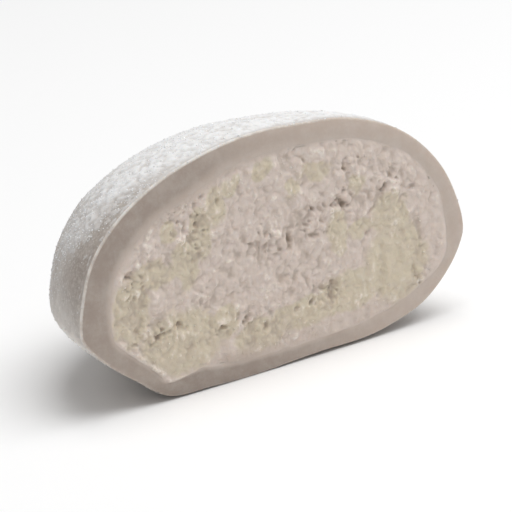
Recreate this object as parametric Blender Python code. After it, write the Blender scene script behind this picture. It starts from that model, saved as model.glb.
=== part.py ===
"""Half of a filled rice cake (mochi), cut straight down with a knife and standing on its flat base.

Run it with  blender --background --python part.py  or from Blender's text editor.

The cake is made whole and then cut, as the real one is: a ball of filling is wrapped in soft rice dough,
settles into a low bun, and a knife takes the front half away.

Frame: metres, +Z up. X runs along the cut face, and the cut face looks towards -Y.
The origin is on the table, under the middle of the half cake's bounding box.
"""

import math

import bmesh
import bpy

MM = 0.001

# The whole cake, as it sits on the table
HALF_WIDTH = 25.0 * MM  # radius of its widest ring, seen from above
HEIGHT = 27.2 * MM
WIDEST_AT = 10.0 * MM  # height of the widest ring
DOME_FULLNESS = 2.1  # superellipse exponent above the widest ring: 2 is an ellipse, more is fuller

# The underside curls in below the widest ring. The dough was gathered at the left, so it tucks in
# flatter there. Depth is how far the curve would reach down if the table didn't press it flat.
LEFT_TUCK_DEPTH, LEFT_TUCK_FULLNESS = 13.2 * MM, 1.6
RIGHT_TUCK_DEPTH, RIGHT_TUCK_FULLNESS = 11.2 * MM, 2.05

# The wall of dough: thick at the left, thin at the right
LEFT_WALL = 3.8 * MM
RIGHT_WALL = 2.1 * MM
TOP_WALL = 2.4 * MM
BASE_WALL = 2.1 * MM
FILLING_WIDEST_AT = 11.0 * MM
LEFT_CORNER_DEPTH, LEFT_CORNER_FULLNESS = 14.5 * MM, 1.6
RIGHT_CORNER_DEPTH, RIGHT_CORNER_FULLNESS = 9.9 * MM, 2.2

CLEARANCE = 0.3 * MM  # between the filling and the dough round it
CUT_Y = -HALF_WIDTH / 2  # the knife passes through the middle of the whole cake

MERIDIANS = 56
RINGS = 32

DOUGH_COLOUR = (0.42, 0.35, 0.30, 1.0)
FILLING_COLOUR = (0.60, 0.53, 0.44, 1.0)


def clear_scene():
    for old in list(bpy.data.objects):
        bpy.data.objects.remove(old)


def new_collection(name):
    collection = bpy.data.collections.new(name)
    bpy.context.scene.collection.children.link(collection)
    return collection


def matte(name, colour, roughness, softness):
    """A food surface. Softness is the share of light that scatters under the skin."""
    material = bpy.data.materials.new(name)
    material.use_nodes = True
    shader = material.node_tree.nodes["Principled BSDF"]
    shader.inputs["Base Color"].default_value = colour
    shader.inputs["Roughness"].default_value = roughness
    shader.inputs["Metallic"].default_value = 0.0
    shader.inputs["Subsurface Weight"].default_value = softness
    shader.inputs["Subsurface Scale"].default_value = 1.5 * MM
    return material


def mixed(left, right, share_right):
    return left + (right - left) * share_right


def bun_point(on_sphere, centre_x, radius, widest_at, dome, left_tuck, right_tuck, floor):
    """Moves a point of the unit sphere to the surface of a bun.

    Its bearing seen from above stays. In height it follows one superellipse above the widest ring and
    another below it, cos and sin of the latitude each raised to 2 / fullness. Below the floor it is
    pressed flat. dome, left_tuck and right_tuck are each (reach from the widest ring, fullness).
    """
    latitude = math.asin(max(-1.0, min(1.0, on_sphere.z)))
    bearing = math.atan2(on_sphere.y, on_sphere.x)
    if latitude >= 0:
        reach, fullness = dome
        side = 1
    else:
        share_right = (1 + math.cos(bearing)) / 2
        reach = mixed(left_tuck[0], right_tuck[0], share_right)
        fullness = mixed(left_tuck[1], right_tuck[1], share_right)
        side = -1
    out = radius * abs(math.cos(latitude)) ** (2 / fullness)
    rise = side * reach * abs(math.sin(latitude)) ** (2 / fullness)
    return (
        centre_x + out * math.cos(bearing),
        CUT_Y + out * math.sin(bearing),
        max(floor, widest_at + rise),
    )


def bun(name, collection, **shape):
    """A closed bun. Its meridians are turned by half a step, so that none lies in the knife's plane."""
    mesh = bmesh.new()
    bmesh.ops.create_uvsphere(mesh, u_segments=MERIDIANS, v_segments=RINGS, radius=1.0)
    half_step = math.pi / MERIDIANS
    for vert in mesh.verts:
        x, y = vert.co.x, vert.co.y
        vert.co.x = x * math.cos(half_step) - y * math.sin(half_step)
        vert.co.y = x * math.sin(half_step) + y * math.cos(half_step)
    for vert in mesh.verts:
        vert.co = bun_point(vert.co, **shape)
    bmesh.ops.recalc_face_normals(mesh, faces=mesh.faces)
    data = bpy.data.meshes.new(name)
    mesh.to_mesh(data)
    mesh.free()
    data.shade_smooth()
    made = bpy.data.objects.new(name, data)
    collection.objects.link(made)
    return made


def whole_cake(name, collection):
    return bun(
        name,
        collection,
        centre_x=0.0,
        radius=HALF_WIDTH,
        widest_at=WIDEST_AT,
        dome=(HEIGHT - WIDEST_AT, DOME_FULLNESS),
        left_tuck=(LEFT_TUCK_DEPTH, LEFT_TUCK_FULLNESS),
        right_tuck=(RIGHT_TUCK_DEPTH, RIGHT_TUCK_FULLNESS),
        floor=0.0,
    )


def filling_ball(name, collection, inset):
    """The inside of the dough wall, or a ball that is smaller than it by inset all round."""
    return bun(
        name,
        collection,
        centre_x=(LEFT_WALL - RIGHT_WALL) / 2,
        radius=HALF_WIDTH - (LEFT_WALL + RIGHT_WALL) / 2 - inset,
        widest_at=FILLING_WIDEST_AT,
        dome=(HEIGHT - TOP_WALL - FILLING_WIDEST_AT - inset, DOME_FULLNESS),
        left_tuck=(LEFT_CORNER_DEPTH - inset, LEFT_CORNER_FULLNESS),
        right_tuck=(RIGHT_CORNER_DEPTH - inset, RIGHT_CORNER_FULLNESS),
        floor=BASE_WALL + inset,
    )


def knife_block(collection):
    """A box over the front half of the cake, with its back face in the plane of the cut."""
    side = 3 * HALF_WIDTH
    bpy.ops.mesh.primitive_cube_add(size=side, location=(0, CUT_Y - side / 2, HEIGHT / 2))
    block = bpy.context.object
    block.name = "knife_block"
    for other in block.users_collection:
        other.objects.unlink(block)
    collection.objects.link(block)
    return block


def as_cutter(obj):
    obj.hide_render = True
    obj.display_type = "WIRE"


def cut_away(obj, cutter):
    modifier = obj.modifiers.new(f"less_{cutter.name}", "BOOLEAN")
    modifier.operation = "DIFFERENCE"
    modifier.solver = "EXACT"
    modifier.object = cutter


def finish_with(obj, material):
    obj.data.materials.append(material)


def main():
    clear_scene()
    food = new_collection("half_rice_cake")
    tools = new_collection("cutters")

    knife = knife_block(tools)
    hollow = filling_ball("hollow", tools, inset=0.0)
    for cutter in (knife, hollow):
        as_cutter(cutter)

    dough = whole_cake("rice_dough", food)
    cut_away(dough, hollow)
    cut_away(dough, knife)
    finish_with(dough, matte("rice_dough", DOUGH_COLOUR, roughness=0.55, softness=0.3))

    filling = filling_ball("cream_filling", food, inset=CLEARANCE)
    cut_away(filling, knife)
    finish_with(filling, matte("cream_filling", FILLING_COLOUR, roughness=0.7, softness=0.2))


main()
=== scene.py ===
# %% [markdown]
# # Half of a dusted rice cake
#
# A filled rice cake is a ball of soft cream wrapped in a skin of pounded rice dough and rolled in dry
# starch, so that it doesn't stick. A knife has gone straight down through this one, and the half that is
# left stands on its flat base with the cut face towards us.
#
# The packed model already holds the two solids, the dough and the filling. This script loads them as a
# fixed frame and dresses them: it makes five finer surfaces from formulas, in millimetres, and gives each
# of them its finish.

import math

import bpy
import numpy as np
from mathutils import Matrix, Vector


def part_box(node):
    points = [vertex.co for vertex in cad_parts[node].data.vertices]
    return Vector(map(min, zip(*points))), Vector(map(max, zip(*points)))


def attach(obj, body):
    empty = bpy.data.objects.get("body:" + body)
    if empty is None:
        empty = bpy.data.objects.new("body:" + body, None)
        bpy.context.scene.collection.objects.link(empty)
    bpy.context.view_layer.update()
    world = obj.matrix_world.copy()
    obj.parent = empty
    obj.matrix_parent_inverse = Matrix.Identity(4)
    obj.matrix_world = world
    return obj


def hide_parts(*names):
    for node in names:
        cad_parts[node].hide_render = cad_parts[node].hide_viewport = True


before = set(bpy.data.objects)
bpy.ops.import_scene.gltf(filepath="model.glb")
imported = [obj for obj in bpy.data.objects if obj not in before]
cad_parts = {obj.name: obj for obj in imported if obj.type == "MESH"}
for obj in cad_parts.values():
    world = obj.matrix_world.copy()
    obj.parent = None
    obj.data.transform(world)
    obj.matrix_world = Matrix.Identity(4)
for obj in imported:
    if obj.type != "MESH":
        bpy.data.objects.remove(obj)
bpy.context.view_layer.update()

MM = 0.001
low, high = (np.array(corner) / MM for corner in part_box("rice_dough"))
CUT_Y = low[1]
HALF_WIDTH = (high[0] - low[0]) / 2
HEIGHT = high[2]
print(f"the half cake is {2 * HALF_WIDTH:.1f} mm wide and {HEIGHT:.1f} mm high, cut at y = {CUT_Y:.1f} mm")

# %% [markdown]
# ## The camera
#
# The cake is looked at from its left and a little from above, so that the cut face and the dusted skin
# both show. A long lens from 39 cm keeps the outline calm, as for a small thing on a display table. The
# camera leans by a few degrees, which makes the half look as if it were just being tipped over.

# %% Camera
CAMERA_SIDE = math.radians(31.7)  # to the left of the cut face's own direction
CAMERA_RISE = math.radians(17.9)
CAMERA_LEAN = math.radians(5.4)
CAMERA_DISTANCE = 389.4
AIM = np.array([-2.5, CUT_Y, 13.4])
FRAME_WIDTH = 55.4  # what the view takes in from side to side, at the distance of the cut face
SENSOR = 36.0

towards_camera = np.array(
    [
        -math.sin(CAMERA_SIDE) * math.cos(CAMERA_RISE),
        -math.cos(CAMERA_SIDE) * math.cos(CAMERA_RISE),
        math.sin(CAMERA_RISE),
    ]
)
camera_place = Vector((AIM + CAMERA_DISTANCE * towards_camera) * MM)
facing = Vector(-towards_camera).to_track_quat("-Z", "Y").to_matrix()
leaning = facing @ Matrix.Rotation(-CAMERA_LEAN, 3, "Z")

camera_data = bpy.data.cameras.new("camera")
camera_data.sensor_width = SENSOR
camera_data.lens = SENSOR * CAMERA_DISTANCE / FRAME_WIDTH
camera_data.clip_start = 0.01
camera = bpy.data.objects.new("camera", camera_data)
bpy.context.scene.collection.objects.link(camera)
camera.matrix_world = Matrix.Translation(camera_place) @ leaning.to_4x4()
bpy.context.scene.camera = camera
print(f"the lens is {camera_data.lens:.0f} mm long and {camera_place.z / MM:.0f} mm above the table")

# %% [markdown]
# ## Helpers for mixing and for noise
#
# Food is never quite even. Smooth noise stands for that here: a number at every corner of a lattice,
# blended in between. Blender has noise textures of its own, but only shaders and modifiers can use them.
# As a numpy function the same noise can move vertices, choose where starch sticks and tint a patch.
#
# A noise is written as three numbers: how much it moves, the size of its bumps in millimetres, and a seed,
# which picks one pattern out of many.


# %% Mixing and noise
def mixed(start, end, share):
    """Straight mixing: start where share is 0, end where it is 1."""
    return start + (end - start) * share


def eased(value, begin, finish):
    """0 below begin, 1 above finish, and 3t^2 - 2t^3 between them, so that it starts and stops softly."""
    t = np.clip((value - begin) / (finish - begin), 0, 1)
    return t * t * (3 - 2 * t)


def lattice_number(ix, iy, iz, seed):
    """A fixed number from 0 to 1 for each lattice place: its whole numbers times big odd ones, then mixed."""
    h = (ix * 374761393 + iy * 668265263 + iz * 1440662683 + seed * 974634777) & 0xFFFFFFFF
    h = ((h ^ (h >> 13)) * 1274126177) & 0xFFFFFFFF
    h = ((h ^ (h >> 15)) * 2246822519) & 0xFFFFFFFF
    return ((h ^ (h >> 16)) & 0xFFFFFF) / 0xFFFFFF


LATTICE_TURNS = [Matrix.Rotation(angle, 3, axis) for angle, axis in ((0.9, "X"), (0.6, "Y"), (0.4, "Z"))]
LATTICE_TURN = np.array(LATTICE_TURNS[0] @ LATTICE_TURNS[1] @ LATTICE_TURNS[2])


def noise(points, cell, seed):
    """Smooth noise from -1 to 1 with bumps about one cell wide.

    The points are turned, so that the lattice doesn't show, and divided by the cell. The numbers at the
    eight corners round each point are then mixed along x, y and z with the soft step 3t^2 - 2t^3.
    """
    place = points @ LATTICE_TURN / cell
    corner = np.floor(place).astype(np.int64)
    t = place - corner
    t = t * t * (3 - 2 * t)
    total = 0
    for dx in (0, 1):
        for dy in (0, 1):
            for dz in (0, 1):
                weight = abs(1 - dx - t[..., 0]) * abs(1 - dy - t[..., 1]) * abs(1 - dz - t[..., 2])
                total = total + weight * lattice_number(
                    corner[..., 0] + dx, corner[..., 1] + dy, corner[..., 2] + dz, seed
                )
    return 2 * total - 1


def layered(points, *noises):
    """Several noises added up, each given as (amount, cell, seed)."""
    return sum(amount * noise(points, cell, seed) for amount, cell, seed in noises)


probe = noise(np.linspace(0, 100, 5000)[:, None] * np.array([1.0, 0.3, 0.1]), 1.0, seed=0)
print(f"along a line through it, the noise runs from {probe.min():.2f} to {probe.max():.2f}")

# %% [markdown]
# ## Helpers for making meshes
#
# Every surface below is a grid of points worked out as one array, so its faces follow from the numbers
# of its rows and columns. A helper puts points and faces into a mesh in one go, and measures the volume
# that the faces enclose: if it comes out negative, the surface is inside out and all faces are turned.


# %% Meshes from arrays
def grid_quads(rows, columns, closed):
    """The four corners of each cell of a grid, numbered row by row. If closed, each row runs round."""
    row = np.arange(rows - 1)[:, None] * columns
    column = np.arange(columns if closed else columns - 1)[None, :]
    following = (column + 1) % columns
    cells = [row + column, row + following, row + columns + following, row + columns + column]
    return np.stack(cells, axis=-1).reshape(-1, 4)


def fan(loop, tip):
    """Triangles from a closed loop of vertices to one tip."""
    return np.stack([loop, np.roll(loop, -1), np.full_like(loop, tip)], axis=-1)


def enclosed_volume(points, triangles):
    """The volume inside a closed surface: a sixth of the sum of a . (b x c) over its triangles."""
    a, b, c = (points[triangles[:, k]] for k in range(3))
    return float(np.einsum("ij,ij->i", a, np.cross(b, c)).sum() / 6)


def make_piece(name, points, quads, triangles, material, body="root"):
    """A closed, smooth-shaded object from points in millimetres, with its faces pointing out."""
    split = np.concatenate([triangles, quads[:, [0, 1, 2]], quads[:, [0, 2, 3]]])
    volume = enclosed_volume(points, split)
    if volume < 0:
        quads, triangles = quads[:, ::-1], triangles[:, ::-1]
    corners = np.concatenate([quads.ravel(), triangles.ravel()])
    sizes = np.concatenate([np.full(len(quads), 4), np.full(len(triangles), 3)])
    mesh = bpy.data.meshes.new(name)
    mesh.vertices.add(len(points))
    mesh.vertices.foreach_set("co", (points * MM).astype(np.float32).ravel())
    mesh.loops.add(len(corners))
    mesh.loops.foreach_set("vertex_index", corners.astype(np.int32))
    mesh.polygons.add(len(sizes))
    mesh.polygons.foreach_set("loop_start", (np.cumsum(sizes) - sizes).astype(np.int32))
    mesh.update(calc_edges=True)
    mesh.validate()
    mesh.shade_smooth()
    mesh.materials.append(material)
    piece = bpy.data.objects.new(name, mesh)
    bpy.context.scene.collection.objects.link(piece)
    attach(piece, body)
    print(f"{name}: {len(split)} triangles, {abs(volume) / 1000:.2f} ml")
    return piece


def paint(piece, attribute, values):
    """Stores a number from 0 to 1 for each vertex, for the material to read. Those left over get 0."""
    numbers = np.zeros(len(piece.data.vertices), np.float32)
    numbers[: values.size] = np.clip(values, 0, 1).ravel()
    layer = piece.data.attributes.new(attribute, "FLOAT", "POINT")
    layer.data.foreach_set("value", numbers)


small_grid = grid_quads(3, 4, closed=False)
print(f"a grid of 3 rows and 4 columns has {len(small_grid)} cells, the first with corners {small_grid[0]}")

# %% [markdown]
# ## The form of the cake
#
# A lump of soft dough settles into a bun: a full dome above, a tucked-in underside and a flat spot where
# it rests. Seen from the side each half is a superellipse, an ellipse whose exponent says how full it is.
# The same formula shapes the solids in the packed model, so the finer skin starts out exactly on them,
# before dents and lumps move it by up to about half a millimetre. It could be sculpted by hand instead, but
# then the cut, the skin and the filling would not share one form.


# %% The bun formula
def direction(around, behind):
    """Unit vectors: around turns in the plane of the cut from +X up to +Z, behind tips them to +Y."""
    return np.stack(
        [np.cos(behind) * np.cos(around), np.sin(behind) + 0 * around, np.cos(behind) * np.sin(around)],
        axis=-1,
    )


def pressed(height, floor, edge):
    """The higher of height and floor. Near their meeting a parabola of the width edge rounds the corner."""
    near = np.clip(edge - abs(height - floor), 0, None)
    return np.maximum(height, floor) + near**2 / (4 * edge)


def bun(towards, centre_x, radius, widest_at, dome, left_tuck, right_tuck, floor, edge):
    """Carries unit vectors to the surface of a bun.

    The bearing seen from above stays. The height follows one superellipse above the widest ring and
    another below it: cos and sin of the latitude, each raised to 2 / fullness. What would go below the
    floor is pressed flat. The tuck changes from its left to its right form with the bearing.
    """
    latitude = np.arcsin(np.clip(towards[..., 2], -1, 1))
    bearing = np.arctan2(towards[..., 1], towards[..., 0])
    share_right = (1 + np.cos(bearing)) / 2
    is_above = latitude >= 0
    reach = np.where(is_above, dome[0], -mixed(left_tuck[0], right_tuck[0], share_right))
    fullness = np.where(is_above, dome[1], mixed(left_tuck[1], right_tuck[1], share_right))
    out = radius * np.cos(latitude) ** (2 / fullness)
    height = widest_at + reach * abs(np.sin(latitude)) ** (2 / fullness)
    return np.stack(
        [
            centre_x + out * np.cos(bearing),
            CUT_Y + out * np.sin(bearing),
            pressed(height, floor, edge),
        ],
        axis=-1,
    )


print(f"a rounding of 1 mm lifts the corner where skin and table meet by {pressed(0.0, 0.0, 1.0):.2f} mm")

# %% [markdown]
# Real dough isn't that perfect. It was gathered and pinched shut below on the left, so there is a blunt
# corner, and it leans on the table unevenly. A short list of dents and swellings along the outline puts
# that back, each a smooth bump with a place, a width and an amount. They fade behind the cut, where low
# noise takes over.


# %% Dents and lumps
LUMPS_FADE = math.radians(40)


def bearing_bump(around, place, width):
    """A soft bump round the cut: exp(-(degrees from its place / its width)^2)."""
    away = np.degrees(np.angle(np.exp(1j * (around - math.radians(place)))))
    return np.exp(-((away / width) ** 2))


def listed_lumps(around, behind, lumps):
    """The sum of several bumps, each (place, width, amount), fading as exp(-(angle behind / fade)^2)."""
    total = sum(amount * bearing_bump(around, place, width) for place, width, amount in lumps)
    return total * np.exp(-((behind / LUMPS_FADE) ** 2))


def swollen(points, core_height, amount):
    """Moves points by an amount, straight away from the middle of the cut at the core's height."""
    core = np.array([0.0, CUT_Y, core_height])
    outward = (points - core) / np.linalg.norm(points - core, axis=-1, keepdims=True)
    return points + outward * amount[..., None]


at_its_width = bearing_bump(math.radians(10), 0, 10)
print(f"a bump of width 10 is down to {at_its_width:.2f} of its height at 10 degrees from its place")

# %% [markdown]
# The skin is that bun, moved outwards or inwards by the list and the noise. It could be subdivided and
# pushed about by hand, but as a function it can be asked again for any angle: the coat and its lining use
# it too, and so always fit.

# %% Skin of the dough
WIDEST_AT = 10.0
DOME_FULLNESS = 2.1
LEFT_TUCK = (13.2, 1.6)  # how far the curve would reach below the widest ring, and its fullness
RIGHT_TUCK = (11.2, 2.05)
TABLE_EDGE = 0.8  # width of the rounding where the underside meets the table
RESTING_EDGE = 0.1  # width of a finer one, made once the lumps are on
SKIN_UNEVENNESS = ((0.22, 9.0, 1), (0.07, 3.0, 2))
OUTLINE_LUMPS = (  # degrees round the cut from the right-hand end, width in degrees, outward in mm
    (0, 9, 0.33),
    (24, 14, 0.12),
    (48, 16, 0.38),
    (66, 10, 0.10),
    (80, 8, -0.22),
    (115, 25, -0.28),
    (168, 9, -0.24),
    (203, 14, -0.50),
    (218, 9, -0.25),
    (227, 7, 0.38),
    (239, 8, -0.32),
    (287, 18, -0.50),
    (304, 8, -0.16),
    (318, 8, 0.18),
    (338, 12, -0.18),
)


def skin_point(around, behind):
    """The outside of the dough: the bun, moved away from its core by the lumps and by low noise.

    The noise grows with the square root of the sine of the angle behind the cut. No point comes in front
    of the cut or below the table.
    """
    points = bun(
        direction(around, behind),
        centre_x=0.0,
        radius=HALF_WIDTH,
        widest_at=WIDEST_AT,
        dome=(HEIGHT - WIDEST_AT, DOME_FULLNESS),
        left_tuck=LEFT_TUCK,
        right_tuck=RIGHT_TUCK,
        floor=0.0,
        edge=TABLE_EDGE,
    )
    uneven = layered(points, *SKIN_UNEVENNESS) * np.sin(behind) ** 0.5
    moved = swollen(points, WIDEST_AT, listed_lumps(around, behind, OUTLINE_LUMPS) + uneven)
    moved[..., 1] = np.maximum(moved[..., 1], CUT_Y)
    moved[..., 2] = np.maximum(pressed(moved[..., 2], 0.0, RESTING_EDGE) - RESTING_EDGE / 4, 0.0)
    return moved


ROUND_STEPS = 420
around = np.linspace(0, 2 * np.pi, ROUND_STEPS, endpoint=False)
outer_outline = skin_point(around, 0 * around)
print(f"the cut is {np.ptp(outer_outline[:, 0]):.1f} mm wide and {np.ptp(outer_outline[:, 2]):.1f} mm high")

# %% [markdown]
# The hollow that holds the cream is a second, smaller bun. Its middle lies to the right of the cake's own,
# so the wall is thick on the left, where the dough was gathered, and thin on the right. An inset shrinks
# the same form all round, for what has to stay clear of the wall.

# %% Hollow in the dough
LEFT_WALL, RIGHT_WALL, TOP_WALL, BASE_WALL = 3.8, 2.1, 2.4, 2.1
FILLING_WIDEST_AT = 11.0
LEFT_CORNER = (14.5, 1.6)
RIGHT_CORNER = (9.9, 2.2)
HOLLOW_RIPPLE = (0.10, 1.6, 3)
FILLING_LUMPS = (
    (0, 8, -0.20),
    (17, 9, 0.05),
    (40, 12, 0.39),
    (60, 12, 0.15),
    (90, 16, -0.29),
    (118, 14, -0.85),
    (126, 7, -0.25),
    (132, 14, -0.15),
    (146, 14, -0.42),
    (165, 12, 0.19),
    (195, 9, 0.75),
    (221, 3.5, 0.64),
    (232, 7, -0.85),
    (272, 16, 0.17),
    (304, 10, -0.32),
    (338, 12, 0.69),
)


def hollow_point(around, behind, inset=0.0):
    """The inside of the dough wall, moved in by inset all round."""
    points = bun(
        direction(around, behind),
        centre_x=(LEFT_WALL - RIGHT_WALL) / 2,
        radius=HALF_WIDTH - (LEFT_WALL + RIGHT_WALL) / 2 - inset,
        widest_at=FILLING_WIDEST_AT,
        dome=(HEIGHT - TOP_WALL - FILLING_WIDEST_AT - inset, DOME_FULLNESS),
        left_tuck=(LEFT_CORNER[0] - inset, LEFT_CORNER[1]),
        right_tuck=(RIGHT_CORNER[0] - inset, RIGHT_CORNER[1]),
        floor=BASE_WALL + inset,
        edge=TABLE_EDGE,
    )
    ripple = layered(points, HOLLOW_RIPPLE) * np.exp(-((behind / LUMPS_FADE) ** 2))
    return swollen(points, FILLING_WIDEST_AT, listed_lumps(around, behind, FILLING_LUMPS) + ripple)


def back_tip(surface):
    """The one point of a surface that lies straight behind the cut, where its rows close."""
    return surface(np.zeros(1), np.full(1, np.pi / 2))


inner_outline = hollow_point(around, 0 * around)
wall = np.linalg.norm(outer_outline - inner_outline, axis=-1)
print(f"the dough wall is {wall.min():.1f} to {wall.max():.1f} mm thick")

# %% [markdown]
# ## Materials
#
# Dough, cream and starch all scatter light under their surface, which is why they look soft. The
# Principled shader does that with its subsurface inputs. Colours that change over a piece come from
# numbers stored on its vertices and from noise on Object coordinates. Numbers that are the same all over
# go straight on the shader's own inputs.


# %% Material helpers
SCATTERED_REACH = (1.0, 0.75, 0.55)  # red light travels furthest under the surface of such food


class Finish:
    """A new material with a Principled shader, and short ways to add the nodes that drive it."""

    def __init__(self, name, roughness, subsurface, reach):
        self.material = bpy.data.materials.new(name)
        self.material.use_nodes = True
        self.tree = self.material.node_tree
        self.shader = self.tree.nodes["Principled BSDF"]
        self.shader.inputs["Roughness"].default_value = roughness
        self.shader.inputs["Subsurface Weight"].default_value = subsurface
        self.shader.inputs["Subsurface Radius"].default_value = SCATTERED_REACH
        self.shader.inputs["Subsurface Scale"].default_value = reach * MM
        self.place = self.tree.nodes.new("ShaderNodeTexCoord").outputs["Object"]

    def attribute(self, name):
        """The number that paint() stored on the vertices."""
        node = self.tree.nodes.new("ShaderNodeAttribute")
        node.attribute_name = name
        return node.outputs["Fac"]

    def noise(self, size, detail=2.0, roughness=0.5):
        """Noise from 0 to 1 with bumps of about this size in millimetres."""
        node = self.tree.nodes.new("ShaderNodeTexNoise")
        node.inputs["Scale"].default_value = 1 / (size * MM)
        node.inputs["Detail"].default_value = detail
        node.inputs["Roughness"].default_value = roughness
        self.tree.links.new(self.place, node.inputs["Vector"])
        return node.outputs["Fac"]

    def math(self, operation, first, second):
        """One sum of two numbers, each an output or a plain number."""
        node = self.tree.nodes.new("ShaderNodeMath")
        node.operation = operation
        for socket, value in zip(node.inputs, (first, second)):
            self.feed(socket, value)
        return node.outputs[0]

    def between(self, value, begin, finish):
        """0 below begin and 1 above finish, softly."""
        node = self.tree.nodes.new("ShaderNodeMapRange")
        node.interpolation_type = "SMOOTHSTEP"
        node.inputs["From Min"].default_value = begin
        node.inputs["From Max"].default_value = finish
        self.tree.links.new(value, node.inputs["Value"])
        return node.outputs["Result"]

    def mix(self, share, start, end):
        """One colour where share is 0, another where it is 1."""
        node = self.tree.nodes.new("ShaderNodeMix")
        node.data_type = "RGBA"
        self.feed(node.inputs["Factor"], share)
        colours = [socket for socket in node.inputs if socket.type == "RGBA"]
        for socket, value in zip(colours, (start, end)):
            self.feed(socket, value)
        return [socket for socket in node.outputs if socket.type == "RGBA"][0]

    def feed(self, socket, value):
        """Links an output to a socket, or sets the socket to a plain value."""
        if isinstance(value, bpy.types.NodeSocket):
            self.tree.links.new(value, socket)
        else:
            socket.default_value = value

    def bump(self, height, depth):
        """Shades the surface as if height stood up by depth millimetres."""
        node = self.tree.nodes.new("ShaderNodeBump")
        node.inputs["Distance"].default_value = depth * MM
        self.tree.links.new(height, node.inputs["Height"])
        self.tree.links.new(node.outputs["Normal"], self.shader.inputs["Normal"])

    def colour(self, value):
        """Makes this the colour of the surface."""
        self.feed(self.shader.inputs["Base Color"], value)


print("a finish offers", ", ".join(name for name in vars(Finish) if not name.startswith("_")))

# %% [markdown]
# ** Dough.** Pounded rice is a translucent grey-beige. Deep in a thick wall it looks darker, and close to
# the pale filling it looks lighter, because light comes through from there. Round the cut, painted shade
# makes it lighter at the top and right, where the light falls, and darkest at the lower left, by the table.
# Faint clouds drift through it, and on the outside a thin film of starch veils it unevenly.

# %% Dough finish
# the darkest dough, used for the thick wall and for painted shade round the cut
DOUGH_DEEP_AND_SHADED = (0.298, 0.241, 0.203, 1)
DOUGH_NEAR_FILLING = (0.56, 0.466, 0.40, 1)
STARCH_FILM = (0.80, 0.765, 0.72, 1)
CLOUD_STRENGTH = 0.16

dough_finish = Finish("rice_dough", roughness=0.5, subsurface=0.35, reach=1.0)
dough_colour = dough_finish.mix(dough_finish.attribute("depth"), DOUGH_NEAR_FILLING, DOUGH_DEEP_AND_SHADED)
cloudy = dough_finish.between(dough_finish.noise(2.5, detail=5.0, roughness=0.7), 0.35, 0.7)
clouds = dough_finish.math("MULTIPLY", cloudy, CLOUD_STRENGTH)
dough_colour = dough_finish.mix(clouds, dough_colour, STARCH_FILM)
film = dough_finish.attribute("film")
gaps = dough_finish.between(dough_finish.noise(0.35, detail=3.0, roughness=0.6), 0.3, 0.7)
veil = dough_finish.math("MULTIPLY", dough_finish.math("MAXIMUM", gaps, film), film)
dough_finish.colour(dough_finish.mix(veil, dough_colour, STARCH_FILM))
dough_finish.bump(dough_finish.noise(0.3, detail=3.0), depth=0.03)
print(f"the dough's finish has {len(dough_finish.tree.nodes)} nodes")

# %% [markdown]
# ** Starch.** Dry powder is white, quite without gloss, and looks grainy because every clump has its own light
# and dark side; a grey speckle paints the shade of those dark sides into its colour as well. Where it lies
# thinly the dough shows through it.

# %% Starch finish
STARCH_WHITE = (0.855, 0.855, 0.855, 1)
STARCH_THIN = (0.50, 0.455, 0.42, 1)
STARCH_SHADED = (0.60, 0.585, 0.57, 1)
CLUMP_SHADE_STRENGTH = 0.3

starch_finish = Finish("starch_dust", roughness=1.0, subsurface=0.1, reach=0.4)
starch_finish.shader.inputs["Specular IOR Level"].default_value = 0.1
starch_colour = starch_finish.mix(starch_finish.attribute("thickness"), STARCH_THIN, STARCH_WHITE)
# painted shade: a grey speckle for the dark sides of the clumps
grainy = starch_finish.between(starch_finish.noise(0.3, detail=3.0, roughness=0.6), 0.42, 0.72)
grainy = starch_finish.math("MULTIPLY", grainy, CLUMP_SHADE_STRENGTH)
starch_finish.colour(starch_finish.mix(grainy, starch_colour, STARCH_SHADED))
starch_finish.bump(starch_finish.noise(0.16, detail=3.0, roughness=0.6), depth=0.03)
print(f"the starch's finish has {len(starch_finish.tree.nodes)} nodes")

# %% [markdown]
# ** Filling.** The cream is matt and full of tiny bubbles. It is a pale pinkish grey with patches that are
# more yellow. Painted shade makes it darker in its holes and clefts, a painted highlight makes it lighter on
# the torn crests, where pale flecks show, and it takes on the dough's colour where it lies thinly against
# the wall.

# %% Filling finish
CREAM_PINKISH = (0.71, 0.615, 0.555, 1)
CREAM_YELLOWISH = (0.67, 0.592, 0.468, 1)
CREAM_AT_WALL = (0.56, 0.475, 0.415, 1)
CREAM_SHADE_IN_HOLES = (0.46, 0.385, 0.325, 1)
CREAM_HIGHLIGHT_FLECKS = (0.855, 0.78, 0.705, 1)
CREAM_SHADED = (0.60, 0.51, 0.44, 1)
MOTTLE_STRENGTH = 0.35

cream_finish = Finish("cream_filling", roughness=0.85, subsurface=0.35, reach=0.4)
cream_finish.shader.inputs["Specular IOR Level"].default_value = 0.1
cream_colour = cream_finish.mix(cream_finish.attribute("yellow"), CREAM_PINKISH, CREAM_YELLOWISH)
mottled = cream_finish.between(cream_finish.noise(1.1, detail=3.0, roughness=0.6), 0.4, 0.7)
mottled = cream_finish.math("MULTIPLY", mottled, MOTTLE_STRENGTH)
cream_colour = cream_finish.mix(mottled, cream_colour, CREAM_SHADED)
cream_colour = cream_finish.mix(cream_finish.attribute("at_wall"), cream_colour, CREAM_AT_WALL)
# painted shade: darker in holes, pits and clefts
cream_colour = cream_finish.mix(cream_finish.attribute("hole"), cream_colour, CREAM_SHADE_IN_HOLES)
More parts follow.
